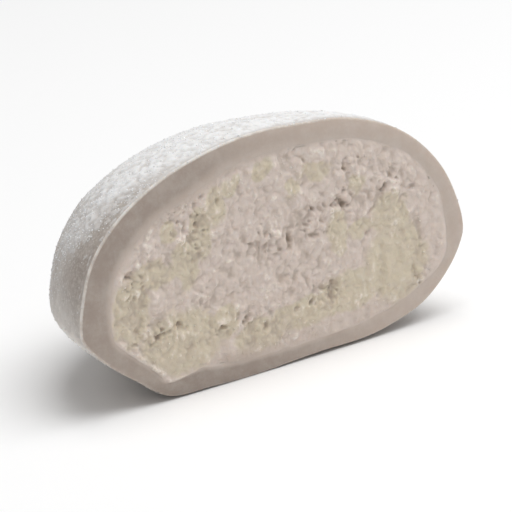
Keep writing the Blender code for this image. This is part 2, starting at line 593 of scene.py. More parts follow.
# painted highlight: lighter flecks on the crests, where the light catches them
highlight_fleck = cream_finish.between(cream_finish.noise(0.42, detail=4.0, roughness=0.7), 0.36, 0.66)
highlight_fleck = cream_finish.math("MULTIPLY", highlight_fleck, cream_finish.attribute("fresh"))
cream_finish.colour(cream_finish.mix(highlight_fleck, cream_colour, CREAM_HIGHLIGHT_FLECKS))
cream_finish.bump(cream_finish.noise(0.22, detail=3.0, roughness=0.6), depth=0.06)
print(f"the filling's finish has {len(cream_finish.tree.nodes)} nodes")

# %% [markdown]
# ## The dough wall
#
# Sticky dough doesn't cut with a sharp edge. The blade drags it, so the cut ring is slightly crowned,
# falls back towards the outside and ends in a small rounded lip. The piece is one closed surface, rows of
# points that each run once round the cake: from the back of the skin forward to the lip, across the
# crowned ring, over the inner edge and back along the inside of the wall.

# %% Skin and lip
SKIN_ROWS, LIP_ROWS = 70, 7
LIP_RADIUS = 0.18
RING_FALL, RING_CROWN = 0.06, 0.02  # shares of the wall's thickness


def outline_outward(outline):
    """The outward direction across a closed outline: its tangent, turned by a quarter in the cut's plane."""
    tangent = np.roll(outline, -1, axis=0) - np.roll(outline, 1, axis=0)
    across = np.stack([tangent[:, 2], 0 * tangent[:, 1], -tangent[:, 0]], axis=-1)
    return across / np.linalg.norm(across, axis=-1, keepdims=True)


def ring_recess(across, wall):
    """How far the cut ring lies behind the knife's plane, in millimetres.

    Across runs from 0 at the skin to 1 at the filling. The recess is the wall's thickness times the fall,
    RING_FALL * (1 - across)^3, less the crown, RING_CROWN * sin(pi * across).
    """
    return RING_FALL * wall * (1 - across) ** 3 - RING_CROWN * wall * np.sin(np.pi * across)


behind = np.linspace(np.pi / 2, 0, SKIN_ROWS + 1)[1:-1, None]
skin_rows = skin_point(around[None, :], behind)

forward = np.array([0.0, -1.0, 0.0])
outer_normal = outline_outward(outer_outline)
lip_setback = ring_recess(np.zeros(1), wall)
lip_turn = np.linspace(0, np.pi / 2, LIP_ROWS)[:, None, None]
lip_centre = outer_outline - LIP_RADIUS * outer_normal - (lip_setback + LIP_RADIUS)[:, None] * forward
lip_rows = lip_centre + LIP_RADIUS * (np.cos(lip_turn) * outer_normal + np.sin(lip_turn) * forward)
print(f"the lip lies {lip_setback.min():.2f} to {lip_setback.max():.2f} mm behind the knife's plane")

# %% [markdown]
# The ring is a straight mix of the two outlines, set back by the recess and by a little noise. Behind its
# inner edge one hidden row reaches in under the cream, so that no gap shows between the two.

# %% Ring and inside
RING_ROWS, INSIDE_ROWS = 34, 36
UNEVEN_CUT = (0.03, 2.2, 5)
HIDDEN_REACH, HIDDEN_SETBACK = 0.35, 0.1

across = np.linspace(0, 1, RING_ROWS + 1)[1:, None]
ring_start = outer_outline - LIP_RADIUS * outer_normal
ring_rows = mixed(ring_start, inner_outline, across[..., None])
uneven_cut = layered(ring_rows, UNEVEN_CUT) * np.sin(np.pi * across)
ring_rows = ring_rows - (ring_recess(across, wall) + uneven_cut)[..., None] * forward

hidden_row = inner_outline - HIDDEN_REACH * outline_outward(inner_outline) - HIDDEN_SETBACK * forward
inside_behind = np.linspace(0, np.pi / 2, INSIDE_ROWS + 1)[1:-1, None]
inside_rows = hollow_point(around[None, :], inside_behind)

dough_grid = np.concatenate([skin_rows, lip_rows, ring_rows, hidden_row[None], inside_rows])
row_count = len(dough_grid)
first_loop = np.arange(ROUND_STEPS)
last_loop = first_loop + (row_count - 1) * ROUND_STEPS
tip = row_count * ROUND_STEPS
dough = make_piece(
    "rice_dough_wall",
    np.concatenate([dough_grid.reshape(-1, 3), back_tip(skin_point), back_tip(hollow_point)]),
    grid_quads(row_count, ROUND_STEPS, closed=True),
    np.concatenate([fan(first_loop[::-1], tip), fan(last_loop, tip + 1)]),
    dough_finish.material,
)
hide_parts("rice_dough")

# %% [markdown]
# ## How the starch lies
#
# The cake was rolled in powder and then handled. The powder lies thick on top and thins out down the
# side, the blade has wiped the rim, and low down a thin film is left from the rolling. Two functions say
# this for any point, and all that has to do with starch asks them: the veil on the dough, the coat and
# the loose grains. Painting it by hand would be quick, but would have to be done three times.


# %% Amount of starch
DUSTED_FROM, DUSTED_FULLY = 15.0, 26.0  # heights at which the dusting starts and is complete
DUSTED_LOWER = 0.35  # each millimetre behind the cut counts as this much height, up to 8 mm
EDGE_WANDER = ((1.3, 8.0, 11), (0.7, 2.5, 12))
WIPED_AT_SIDE, WIPED_ON_TOP = 3.4, 1.8  # height that the blade has taken off the dusting at the rim
RIM_WANDER = (0.5, 1.5, 13)


def starch_amount(points):
    """How heavily the cake is dusted, from 0 to 1.

    Full on top and less and less down to a third of the height, further down behind the cut, and less
    where the blade wiped the rim. Noise makes its edge wander, twice as far at the back.
    """
    from_cut = points[..., 1] - CUT_Y
    wander = layered(points, *EDGE_WANDER) * mixed(1.0, 2.0, eased(from_cut, 4.0, 12.0))
    wiped = mixed(WIPED_AT_SIDE, WIPED_ON_TOP, eased(points[..., 2], 23.0, 26.5))
    wiped = wiped * (1 - eased(from_cut, 0.8, 5.5))
    height = points[..., 2] + DUSTED_LOWER * np.minimum(from_cut, 8.0) - wiped + wander
    worn_rim = mixed(0.9, 1.0, eased(from_cut + layered(points, RIM_WANDER), 0.2, 1.6))
    return np.clip(eased(height, DUSTED_FROM, DUSTED_FULLY) * worn_rim, 0, 1)


print(f"over the skin's rows the dusting is {100 * starch_amount(skin_rows).mean():.0f}% of a full one")

# %% [markdown]
# Under the powder that stands up there is a film so thin that the dough shows through it. It has no
# thickness worth modelling, so it is only a share of white in the dough's colour.

# %% Film of starch
LOW_BAND_HEIGHT, LOW_BAND_WIDTH = 8.0, 4.6
BAND_WANDER = ((1.0, 6.0, 14), (0.5, 1.8, 15))
FILM_SPECKLE = (0.10, 0.6, 16)
RIM_FILM, RIM_FILM_WIDTH = 0.4, 0.6


def starch_film(points):
    """How much a thin film of starch veils the dough, from 0 to 1.

    It grows with the dusting above. A second soft band, exp(-(height from the band / its width)^2), lies
    low down, where the cake was rolled in the powder, and a narrow one along the upper rim. Between them,
    a little above the widest ring, the dough shows most.
    """
    from_cut = points[..., 1] - CUT_Y
    height = points[..., 2] + layered(points, *BAND_WANDER)
    low_band = np.exp(-(((height - LOW_BAND_HEIGHT) / LOW_BAND_WIDTH) ** 2))
    low_share = mixed(0.34, 0.62, eased(from_cut, 0.3, 2.5)) - 0.2 * eased(from_cut, 3.5, 9.0)
    at_rim = RIM_FILM * np.exp(-from_cut / RIM_FILM_WIDTH) * eased(points[..., 2], 17, 22)
    everywhere = mixed(0.28, 0.40, eased(from_cut, 2.5, 7.0)) + layered(points, FILM_SPECKLE)
    return np.clip(everywhere + 0.60 * starch_amount(points) + low_share * low_band + at_rim, 0, 1)


print(f"the film on the skin's rows is {starch_film(skin_rows).mean():.2f} strong on average, of at most 1")

# %% [markdown]
# Two numbers go with every point of the dough. Depth says how dark it looks: little next to the filling,
# more in the thick wall at the left, where the change is also more gradual. Round the cut it also holds
# painted shade: less at the top and right, where the light falls, and most at the lower left, by the table.
# Film says how much starch veils it: that of the skin, and on the cut only a thin line along the lip, which
# shows most at the upper left; that line is partly powder and partly a painted highlight where the edge
# catches the light.

# %% Shade of the dough
# painted shade is part of this table: lighter at the top and right, where the light falls, darkest at the
# lower left by the table
RING_DARKNESS_AND_SHADE = (  # degrees round the cut, how dark the wall looks there from 0 to 1
    (0, 0.14),
    (55, 0.10),
    (80, 0.20),
    (96, 0.36),
    (110, 0.68),
    (150, 0.82),
    (185, 0.70),
    (215, 0.66),
    (230, 0.92),
    (245, 0.88),
    (270, 0.66),
    (288, 0.34),
    (305, 0.14),
    (330, 0.05),
)
LIP_FILM_FRONT = 0.75  # share of the lip's film that is left where the lip turns into the ring
LIP_PATCHES = (1.0, 0.9, 6)


def leftness(around):
    """1 at the upper left, where the wall's inner edge is blurred, and 0 far from there."""
    return np.clip(bearing_bump(around, 124, 36) * 1.25, 0, 1)


ring_angles, ring_darkness_and_shade = np.array(RING_DARKNESS_AND_SHADE).T
ring_shade = np.interp(np.degrees(around), ring_angles, ring_darkness_and_shade, period=360)
at_left = leftness(around)
from_filling = np.linalg.norm(ring_rows - inner_outline, axis=-1)
ring_depth_and_shade = eased(from_filling, mixed(-0.15, -0.3, at_left), mixed(0.65, 1.6, at_left)) * ring_shade
skin_depth_and_shade = mixed(ring_shade, 1.0, eased(skin_rows[..., 1] - CUT_Y, 0.0, 1.5))
lip_depth_and_shade = np.tile(ring_shade, (LIP_ROWS, 1))
# this number darkens the dough for the thick wall and for painted shade by where the light falls
paint(dough, "depth", np.concatenate([skin_depth_and_shade, lip_depth_and_shade, ring_depth_and_shade]))

# painted highlight: the white line along the lip, most at the upper left, is partly powder and partly the
# light the cut edge catches
lip_powder_and_highlight = mixed(0.25, 1.0, eased(bearing_bump(around, 138, 62), 0.1, 0.7))
lip_powder_and_highlight = lip_powder_and_highlight * mixed(0.75, 1.0, eased(layered(outer_outline, LIP_PATCHES), -0.4, 0.4))
lip_film_and_highlight = mixed(1.0, LIP_FILM_FRONT, np.linspace(0, 1, LIP_ROWS)[:, None]) * lip_powder_and_highlight
from_skin = np.linalg.norm(ring_rows - ring_start, axis=-1)
ring_edge_film_and_highlight = LIP_FILM_FRONT * lip_powder_and_highlight * np.exp(-((from_skin / 0.08) ** 2))
paint(dough, "film", np.concatenate([starch_film(skin_rows), lip_film_and_highlight, ring_edge_film_and_highlight]))
print(f"the ring is {ring_shade.min():.2f} to {ring_shade.max():.2f} dark on the scale from 0 to 1")

# %% [markdown]
# ## The starch coat
#
# The starch is a real layer, up to about 0.3 mm thick, with clumps and worn pores. It is
# made as a second surface that floats over the dough where powder lies and dips under it where the dough
# is bare, so every island of powder has a true edge with a shadow. The grid is a square, pressed into a
# disc and then wrapped over the bun, which keeps the cells even and needs no pole.


# %% A square pressed into a disc
def disc_grid(columns, rows):
    """Angle and radius for each point of a square grid that is pressed into a disc.

    A point (a, b) of the square from -1 to 1 goes to (a * sqrt(1 - b^2 / 2), b * sqrt(1 - a^2 / 2)).
    """
    a, b = np.meshgrid(np.linspace(-1, 1, columns), np.linspace(-1, 1, rows))
    u, v = a * np.sqrt(1 - b**2 / 2), b * np.sqrt(1 - a**2 / 2)
    return np.arctan2(v, u), np.minimum(np.hypot(u, v), 1.0)


def grid_border(columns, rows):
    """The numbers of the grid's outermost points, in order round it."""
    number = np.arange(columns * rows).reshape(rows, columns)
    return np.concatenate([number[0, :-1], number[:-1, -1], number[-1, :0:-1], number[:0:-1, 0]])


def grid_crossed(points):
    """For each point of a grid, the cross product of its two directions: its length is the cell's area."""
    return np.cross(np.gradient(points, axis=0), np.gradient(points, axis=1))


def grid_normals(points, core):
    """Unit normals of a grid of points, pointing away from the core."""
    crossed = grid_crossed(points)
    crossed = crossed / np.maximum(np.linalg.norm(crossed, axis=-1, keepdims=True), 1e-9)
    facing = np.sign(np.einsum("ijk,ijk->ij", crossed, points - core))
    return crossed * facing[..., None]


COAT_STEPS = 290
COAT_STARTS = 0.011  # angle behind the cut at which the coat's border runs
coat_around, coat_radius = disc_grid(COAT_STEPS, COAT_STEPS)
coat_base = skin_point(coat_around, mixed(np.pi / 2, COAT_STARTS, coat_radius))
cake_core = np.array([0.0, CUT_Y, WIDEST_AT])
coat_normal = grid_normals(coat_base, cake_core)
coat_cells = np.linalg.norm(grid_crossed(coat_base), axis=-1)
print(f"the skin's grid covers {coat_cells.sum() / 100:.1f} square cm")

# %% [markdown]
# The height of the powder follows the dusting, broken up by noise from wide drifts down to single clumps.
# It dips under the dough just behind the lip, where nothing sticks, and the blade has pushed up a fine
# line of powder along the left rim, a little further back.

# %% Starch coat
BARE_HEIGHT, FULL_HEIGHT = -0.11, 0.16  # below 0 the powder lies under the dough's surface
BARE_UNDERNEATH, BARE_BORDER = -0.1, -0.12
LOWEST_COAT, HIGHEST_COAT = -0.15, 0.4
DRIFTS = ((0.015, 3.0, 21),)
CLUMPS = ((0.02, 1.3, 22), (0.05, 0.75, 23), (0.095, 0.42, 24))
DRAGGED = np.array([1.0, 0.85, 1.0])
PUSHED_LINE, PUSHED_LINE_WIDTH, PUSHED_LINE_HEIGHT = 0.9, 0.2, 0.10
PUSHED_LINE_WANDER = (0.15, 3.0, 27)


def powder_height(points):
    """How high the powder stands above the dough in millimetres; below 0 the dough is bare.

    A mix of the bare and the full height by the amount of starch, plus drifts, plus clumps that the
    knife's pull has drawn out a little towards the cut.
    """
    base_height = mixed(BARE_HEIGHT, FULL_HEIGHT, starch_amount(points))
    return base_height + layered(points, *DRIFTS) + layered(points * DRAGGED, *CLUMPS)


from_cut = coat_base[..., 1] - CUT_Y
underneath = eased(-coat_normal[..., 2], 0.15, 0.45)
coat_height = mixed(powder_height(coat_base), BARE_UNDERNEATH, underneath * (1 - eased(from_cut, 0.5, 2.0)))
line_from_cut = PUSHED_LINE + layered(coat_base, PUSHED_LINE_WANDER)
pushed_up = np.exp(-(((from_cut - line_from_cut) / PUSHED_LINE_WIDTH) ** 2))
coat_height += PUSHED_LINE_HEIGHT * pushed_up * bearing_bump(coat_around, 158, 26) * (1 - underneath)
coat_height = mixed(BARE_BORDER, coat_height, eased(from_cut, 0.3, 0.7))
coat_points = coat_base + np.clip(coat_height, LOWEST_COAT, HIGHEST_COAT)[..., None] * coat_normal
coat_points[..., 2] = np.maximum(coat_points[..., 2], 0.0)
covered = np.average(coat_height > 0, weights=coat_cells)
print(f"powder covers {100 * covered:.0f}% of the skin and stands up to {coat_height.max():.2f} mm high")

# %% [markdown]
# To make the coat a closed body, a coarse lining follows under the dough's surface. Nobody sees it, so
# it has only a few rows: they start from the border of the fine grid and close at one tip at the back.


# %% Lining
def lined(border_around, rows_behind, surface):
    """Rows from a border to a tip: surface(around, behind) at the border's own angles."""
    rows = surface(border_around[None, :], rows_behind[:, None]).reshape(-1, 3)
    return np.concatenate([rows, back_tip(surface)])


def lining_faces(border, first_free, rows):
    """Quads from the border through the lining's rows, and the fan that closes them at the tip."""
    count = len(border)
    numbers = np.concatenate([border, first_free + np.arange(rows * count)])
    quads = numbers[grid_quads(rows + 1, count, closed=True)]
    return quads, fan(numbers[-count:], first_free + rows * count)


LINING_ROWS = 10
LINING_SCALE = 0.975
LINING_FRONT = 0.9  # the lining stays this far behind the cut


def under_skin(around, behind):
    """A smaller copy of the skin, about half a millimetre inside the dough's own surface."""
    shrunk = cake_core + (skin_point(around, behind) - cake_core) * LINING_SCALE
    shrunk[..., 1] = np.maximum(shrunk[..., 1], CUT_Y + LINING_FRONT)
    return shrunk


border = grid_border(COAT_STEPS, COAT_STEPS)
lining_behind = np.linspace(0.03, np.pi / 2, LINING_ROWS + 1)[:-1]
lining = lined(coat_around.ravel()[border], lining_behind, under_skin)
lining_quads, lining_tip = lining_faces(border, COAT_STEPS**2, LINING_ROWS)
coat = make_piece(
    "starch_coat",
    np.concatenate([coat_points.reshape(-1, 3), lining]),
    np.concatenate([grid_quads(COAT_STEPS, COAT_STEPS, closed=False)[:, ::-1], lining_quads]),
    lining_tip,
    starch_finish.material,
)

# %% [markdown]
# The coat's colour goes from that of thin, dough-tinted powder to white with its thickness. Low down,
# where only the film is left, it takes the film's amount instead, so that coat and dough match where one
# dips under the other.

# %% Shade of the coat
shown_thickness = eased(coat_height, -0.06, 0.22) * mixed(0.55, 1.0, starch_amount(coat_base))
low_film = starch_film(coat_base) - 0.6 * starch_amount(coat_base)
shown_thickness = np.maximum(shown_thickness, 0.85 * low_film)
paint(coat, "thickness", shown_thickness)
print(f"the coat's shown thickness is {shown_thickness.mean():.2f} on average, of at most 1")

# %% [markdown]
# ## Loose grains of starch
#
# On top of the coat lie single grains and crumbs of powder. Each is an icosahedron of 20 faces, squashed,
# turned and placed at random on the coat. All of them are worked out in one array: a stack of small
# shapes, each with its own scale, turn and place. Instances would be lighter, but a mesh can be used
# anywhere.


# %% Small shapes in one array
def icosahedron():
    """Corners and faces of the regular solid with 20 triangles: (0, 1, golden) and its turns, on radius 1."""
    golden = (1 + 5**0.5) / 2
    corners = np.array([(s, t * golden, 0) for s in (-1, 1) for t in (-1, 1)])
    corners = np.concatenate([np.roll(corners, k, axis=1) for k in range(3)])
    gaps = np.linalg.norm(corners[:, None] - corners[None, :], axis=-1)
    near = (gaps > 0.1) & (gaps < 2.1)
    faces = [
        (i, j, k)
        for i in range(12)
        for j in range(i + 1, 12)
        for k in range(j + 1, 12)
        if near[i, j] and near[j, k] and near[i, k]
    ]
    faces = np.array(faces)
    a, b, c = (corners[faces[:, k]] for k in range(3))
    inward = np.einsum("ij,ij->i", a, np.cross(b, c)) < 0
    faces[inward] = faces[inward][:, ::-1]
    return corners / np.linalg.norm(corners[0]), faces


def random_turns(random, count):
    """Rotation matrices from unit quaternions whose four parts are drawn from a normal distribution."""
    w, x, y, z = random.normal(size=(4, count))
    length = np.sqrt(w * w + x * x + y * y + z * z)
    w, x, y, z = w / length, x / length, y / length, z / length
    turns = [
        [1 - 2 * (y * y + z * z), 2 * (x * y - w * z), 2 * (x * z + w * y)],
        [2 * (x * y + w * z), 1 - 2 * (x * x + z * z), 2 * (y * z - w * x)],
        [2 * (x * z - w * y), 2 * (y * z + w * x), 1 - 2 * (x * x + y * y)],
    ]
    return np.moveaxis(np.array(turns), 2, 0)


def scattered(random, places, radii, jitter):
    """One small lump at each place: an icosahedron with uneven corners, squashed, turned and scaled."""
    corners, faces = icosahedron()
    count = len(places)
    uneven = corners * random.uniform(1 - jitter, 1 + jitter, (count, 12, 1))
    squash = random.uniform(0.55, 1.0, (count, 1, 3))
    turned = np.einsum("nij,nkj->nki", random_turns(random, count), uneven * squash)
    points = places[:, None] + turned * radii[:, None, None]
    numbers = faces[None] + 12 * np.arange(count)[:, None, None]
    return points.reshape(-1, 3), numbers.reshape(-1, 3)


def picked(random, likely, count):
    """The numbers of some points of a grid, drawn with chances in proportion to likely."""
    likely = likely.ravel()
    return random.choice(likely.size, count, p=likely / likely.sum())


NO_QUADS = np.zeros((0, 4), int)
print(f"a grain has {len(icosahedron()[1])} faces")

# %% [markdown]
# Grains show most where the dusting is half worn away. Behind the cut, where nobody has wiped the cake,
# stray ones also cling low down. Each sits in the coat, or on the dough where there is none.

# %% Starch grains
GRAINS = 9900
SMALLEST_GRAIN, LARGEST_GRAIN = 0.06, 0.18
STRAY_NEAR_CUT, STRAY_BEHIND = 0.04, 0.5  # how likely grains are where the dough is nearly bare
GRAIN_SUNK = 0.35  # share of its radius
GRAIN_SHIFT = 0.02
GRAIN_ABOVE_TABLE, GRAIN_BEHIND_CUT = 0.2, 0.25

random = np.random.default_rng(7)
dusted = starch_amount(coat_base)
half_dusted = np.exp(-(((dusted - 0.45) / 0.35) ** 2))
stray = mixed(STRAY_NEAR_CUT, STRAY_BEHIND, eased(from_cut, 4.0, 9.0))
likely = (stray + half_dusted + 0.6 * dusted) * (coat_base[..., 2] > 0.6) * coat_cells
chosen = picked(random, likely, GRAINS)
grain_radius = SMALLEST_GRAIN + (LARGEST_GRAIN - SMALLEST_GRAIN) * random.random(GRAINS) ** 2
lift = np.maximum(-coat_height.ravel()[chosen], 0) - GRAIN_SUNK * grain_radius
grain_place = coat_points.reshape(-1, 3)[chosen] + coat_normal.reshape(-1, 3)[chosen] * lift[:, None]
grain_place += random.normal(size=(GRAINS, 3)) * GRAIN_SHIFT
grain_place[:, 2] = np.maximum(grain_place[:, 2], GRAIN_ABOVE_TABLE)
grain_place[:, 1] = np.maximum(grain_place[:, 1], CUT_Y + GRAIN_BEHIND_CUT)
grain_points, grain_faces = scattered(random, grain_place, grain_radius, jitter=0.2)
grains = make_piece("starch_grains", grain_points, NO_QUADS, grain_faces, starch_finish.material)
stray_white = mixed(0.35, 0.7, eased(grain_place[:, 1] - CUT_Y, 4.0, 9.0))
grain_white = mixed(stray_white, 1.0, eased(starch_amount(grain_place), 0.0, 0.5))
paint(grains, "thickness", np.repeat(grain_white, len(grain_points) // GRAINS))

# %% [markdown]
# ## The torn face of the filling
#
# The knife doesn't slice the airy cream, it tears it. The middle is rough, with crumbs that stand close
# together, small holes and a few larger gouges, while near the wall and in some places lower down it is
# smeared smooth. All of that is one height over the plane of the cut, a function of the place on it. It is
# carried by the same square-into-disc grid, this time stretched over the filling's outline.
#
# First come the places where the blade smeared the cream and those where it tore most, as soft round
# patches. Their edges are shaken by noise, so a few patches are enough for an uneven map.

# %% Where the cream is torn, and where it is smeared
SMEARED_PLACES = (  # x, z, half width, half height in mm
    (14.5, 8.0, 4.4, 4.2),
    (-9.5, 3.6, 6.5, 1.7),
    (8.0, 3.4, 8.0, 1.5),
    (20.8, 11.5, 1.3, 4.5),
)
RAGGED_PLACES = (  # where the cream is torn most
    (-15.6, 8.0, 2.6, 1.3),
    (-18.3, 14.0, 1.3, 2.2),
    (-10.3, 18.6, 2.2, 3.8),
    (5.5, 15.4, 2.4, 2.0),
    (9.2, 16.6, 1.5, 1.5),
    (5.8, 7.0, 2.4, 1.4),
    (-6.0, 6.6, 3.6, 1.4),
    (10.6, 20.5, 1.8, 1.3),
    (15.0, 17.2, 2.6, 1.6),
    (-9.8, 10.2, 1.6, 1.4),
    (-0.6, 14.6, 3.4, 2.4),
)
FACE_CENTRE = np.array([(LEFT_WALL - RIGHT_WALL) / 2, FILLING_WIDEST_AT])
PATCH_EDGE = (0.5, 2.2, 31)
SMOOTH_RIM, SMOOTH_RIM_LEFT = 1.1, 0.45  # width of the smooth rim along the wall
RIM_EDGE = (0.5, 1.8, 32)


def patches(x, z, places):
    """The highest of several soft round patches: 1 in the middle of each, falling as exp(-(distance)^4)."""
    highest = np.zeros_like(x)
    for place_x, place_z, half_width, half_height in places:
        far = ((x - place_x) / half_width) ** 2 + ((z - place_z) / half_height) ** 2
        highest = np.maximum(highest, np.exp(-(far**2)))
    return highest


def on_cut(x, z):
    """Points for the noise over the cut's plane."""
    return np.stack([x, 0 * x, z], axis=-1)


def tearing(x, z, to_wall):
    """How torn the cream is, where it is smeared and where it is most ragged, each from 0 to 1.

    A middle value, more in the ragged patches and less in the smeared ones, that fades to 0 over the
    smooth rim along the wall. The rim is narrow at the left end.
    """
    edge = layered(on_cut(x, z), PATCH_EDGE)
    smeared = patches(x + edge, z + edge, SMEARED_PLACES)
    ragged = patches(x + edge, z + edge, RAGGED_PLACES)
    bearing = np.arctan2(z - FACE_CENTRE[1], x - FACE_CENTRE[0])
    rim = mixed(SMOOTH_RIM, SMOOTH_RIM_LEFT, bearing_bump(bearing, 184, 24))
    inner = eased(to_wall + layered(on_cut(x, z), RIM_EDGE), 0.2 * rim, rim)
    torn = np.clip(0.62 + 0.4 * ragged - 0.4 * smeared, 0, 1) * inner
    return torn, smeared, ragged


print(f"{len(SMEARED_PLACES)} smeared and {len(RAGGED_PLACES)} ragged places")

# %% [markdown]
# The larger holes are where bubbles were cut open or a crumb was pulled out. They are few and each looks
# different, so they are listed: a place, a size, a lean and a depth. The cream that came out of each is
# pushed up below it as a low lip.

# %% Larger holes
HOLES = (  # x, z, half width, half height, lean in degrees, depth in mm
    (9.3, 16.4, 0.50, 0.34, -28, 0.62),
    (8.5, 17.2, 0.34, 0.30, 0, 0.36),
    (1.8, 14.0, 0.32, 0.52, 12, 0.55),
    (-0.5, 14.3, 0.26, 0.44, 10, 0.32),
    (5.3, 16.7, 0.24, 0.28, 0, 0.42),
    (4.8, 15.8, 0.30, 0.22, 20, 0.36),
    (6.4, 15.3, 0.40, 0.34, 0, 0.30),
    (4.2, 15.3, 0.26, 0.20, 0, 0.34),
    (4.9, 13.9, 0.45, 0.22, -10, 0.28),
    (7.8, 16.6, 0.22, 0.26, 0, 0.38),
    (8.0, 15.4, 0.16, 0.60, 10, 0.26),
    (9.9, 20.7, 0.28, 0.70, 5, 0.40),
    (6.8, 7.1, 0.36, 1.10, -8, 0.52),
    (4.2, 6.4, 0.28, 0.50, 0, 0.44),
    (2.0, 6.2, 0.30, 0.40, 0, 0.44),
    (18.9, 10.2, 0.18, 1.10, 8, 0.24),
    (18.3, 5.6, 0.22, 1.30, 12, 0.28),
    (-15.5, 7.5, 1.00, 0.28, 22, 0.44),
    (-16.1, 7.5, 0.30, 0.24, 0, 0.30),
    (-18.4, 8.9, 0.30, 0.24, 0, 0.26),
    (-18.9, 7.6, 0.28, 0.24, 0, 0.22),
    (-12.9, 8.2, 0.24, 0.60, -10, 0.38),
    (-12.2, 7.9, 0.24, 0.40, -6, 0.30),
    (-10.1, 10.1, 0.34, 0.28, 0, 0.34),
    (-7.6, 6.6, 0.40, 0.30, 20, 0.34),
    (-4.6, 6.5, 0.30, 0.32, 0, 0.42),
    (-2.2, 5.3, 0.30, 0.45, 0, 0.50),
    (-8.8, 21.7, 0.34, 0.24, 0, 0.30),
    (-9.8, 18.9, 0.26, 0.30, 0, 0.26),
    (-6.7, 20.5, 0.18, 0.50, 0, 0.26),
    (-18.5, 14.9, 0.34, 0.28, 0, 0.36),
    (-18.1, 12.6, 0.22, 0.24, 0, 0.26),
    (13.0, 15.0, 0.60, 0.22, 35, 0.28),
    (14.9, 16.9, 0.60, 0.20, 50, 0.28),
    (18.6, 16.3, 0.32, 0.26, -15, 0.32),
    (21.0, 14.4, 0.12, 0.60, 0, 0.20),
    (12.2, 12.4, 0.26, 0.34, 0, 0.22),
    (2.1, 9.9, 0.18, 0.60, 0, 0.22),
)
HOLE_SHAKE_X = ((0.26, 0.6, 61), (0.10, 0.28, 62))
HOLE_SHAKE_Z = ((0.26, 0.6, 63), (0.10, 0.28, 64))


def listed_holes(x, z):
    """Depth of the listed holes, and the height of the lip of cream pushed up below each of them.

    Each hole is depth * exp(-(distance^2 / 1.4)^1.5) in its own leaning frame. The places are first
    shaken by fine noise, which makes every edge ragged.
    """
    flat = on_cut(x, z)
    x = x + layered(flat, *HOLE_SHAKE_X)
    z = z + layered(flat, *HOLE_SHAKE_Z)
    depth, lip = np.zeros_like(x), np.zeros_like(x)
    for hole_x, hole_z, half_width, half_height, lean, deepest in HOLES:
        turn = math.radians(lean)
        along = ((x - hole_x) * math.cos(turn) + (z - hole_z) * math.sin(turn)) / half_width
        up = ((z - hole_z) * math.cos(turn) - (x - hole_x) * math.sin(turn)) / half_height
        depth = np.maximum(depth, deepest * np.exp(-(((along**2 + up**2) / 1.4) ** 1.5)))
        lip = np.maximum(lip, 0.25 * deepest * np.exp(-(along**2 + (up + 1.5) ** 2)))
    return depth, lip


print(f"{len(HOLES)} larger holes, up to {max(hole[-1] for hole in HOLES):.2f} mm deep")

# %% [markdown]
# The fine texture can't be listed. It is made of scattered domes and pits, one to each cell of a square
# pattern, at a place and of a size that come from the same fixed numbers as the noise. The pattern is
# shaken first, so that no crumb is round and no row can be seen.


# %% Crumbly texture
def scattered_domes(x, z, cell, seed, smallest, largest, profile):
    """Domes or pits scattered in a plane, with profile(distance from the middle / radius, radius).

    Each square cell holds one of them, at a hashed place and of a hashed radius. A point takes the highest
    value of the nine cells round it.
    """
    cell_x, cell_z = np.floor(x / cell).astype(np.int64), np.floor(z / cell).astype(np.int64)
    highest = np.zeros_like(x)
    for dx in (-1, 0, 1):
        for dz in (-1, 0, 1):
            i, k = cell_x + dx, cell_z + dz
            middle_x = (i + lattice_number(i, k, 1, seed)) * cell
            middle_z = (k + lattice_number(i, k, 2, seed)) * cell
            radius = mixed(smallest, largest, lattice_number(i, k, 3, seed) ** 1.5)
            far = np.hypot(x - middle_x, z - middle_z) / radius
            highest = np.maximum(highest, profile(far, radius))
    return highest


def curd(far, radius):
    """The height of a round crumb: radius * (1 - distance^2)."""
    return radius * np.clip(1 - far**2, 0, None)


def pit(far, radius):
    """A hole with a steep side: exp(-distance^4), as deep for every radius."""
    return np.exp(-(far**4))


TEXTURE_SHAKE_X = ((0.28, 1.2, 42), (0.09, 0.4, 46))
TEXTURE_SHAKE_Z = ((0.28, 1.2, 43), (0.09, 0.4, 47))
CRUMBS_LARGE = (1.3, 35, 0.35, 1.1)  # cell, seed, smallest and largest radius
CRUMBS_SMALL = (0.6, 39, 0.14, 0.50)
SMALL_PITS = (0.95, 44, 0.08, 0.38)
CRUMB_RISE, SMALL_RISE, PIT_DEPTH = 0.26, 0.42, 0.18
CRUMB_LOWERED, SMALL_LOWERED = 0.09, 0.08  # taken off again, so that the face stays near its plane
SOFT_LUMPS = ((0.15, 1.2, 40), (0.12, 0.55, 36))
FINE_GRAIN = (0.05, 0.3, 37)
PITTED_EDGE = (0.6, 2.0, 38)


def cream_texture(x, z, ragged):
    """How far crumbs and lumps stand up, how deep small pits go, and a fine grain, all in millimetres.

    Crumbs come in two sizes, each lowered by somewhat more than its mean height. Lumps are noise drawn out
    down the blade's path, and the pits are deepest in the ragged places.
    """
    flat = on_cut(x, z)
    shaken_x = x + layered(flat, *TEXTURE_SHAKE_X)
    shaken_z = z + layered(flat, *TEXTURE_SHAKE_Z)
    crumbs = CRUMB_RISE * scattered_domes(shaken_x, shaken_z, *CRUMBS_LARGE, curd) - CRUMB_LOWERED
    small_crumbs = SMALL_RISE * scattered_domes(shaken_x, shaken_z, *CRUMBS_SMALL, curd) - SMALL_LOWERED
    lumps = layered(on_cut(shaken_x, 0.6 * shaken_z), *SOFT_LUMPS)
    pitted = mixed(0.25, 1.0, eased(ragged + layered(flat, PITTED_EDGE), -0.1, 0.8))
    pits = PIT_DEPTH * scattered_domes(shaken_x, shaken_z, *SMALL_PITS, pit) * pitted
    return crumbs + small_crumbs + lumps, pits, layered(flat, FINE_GRAIN)


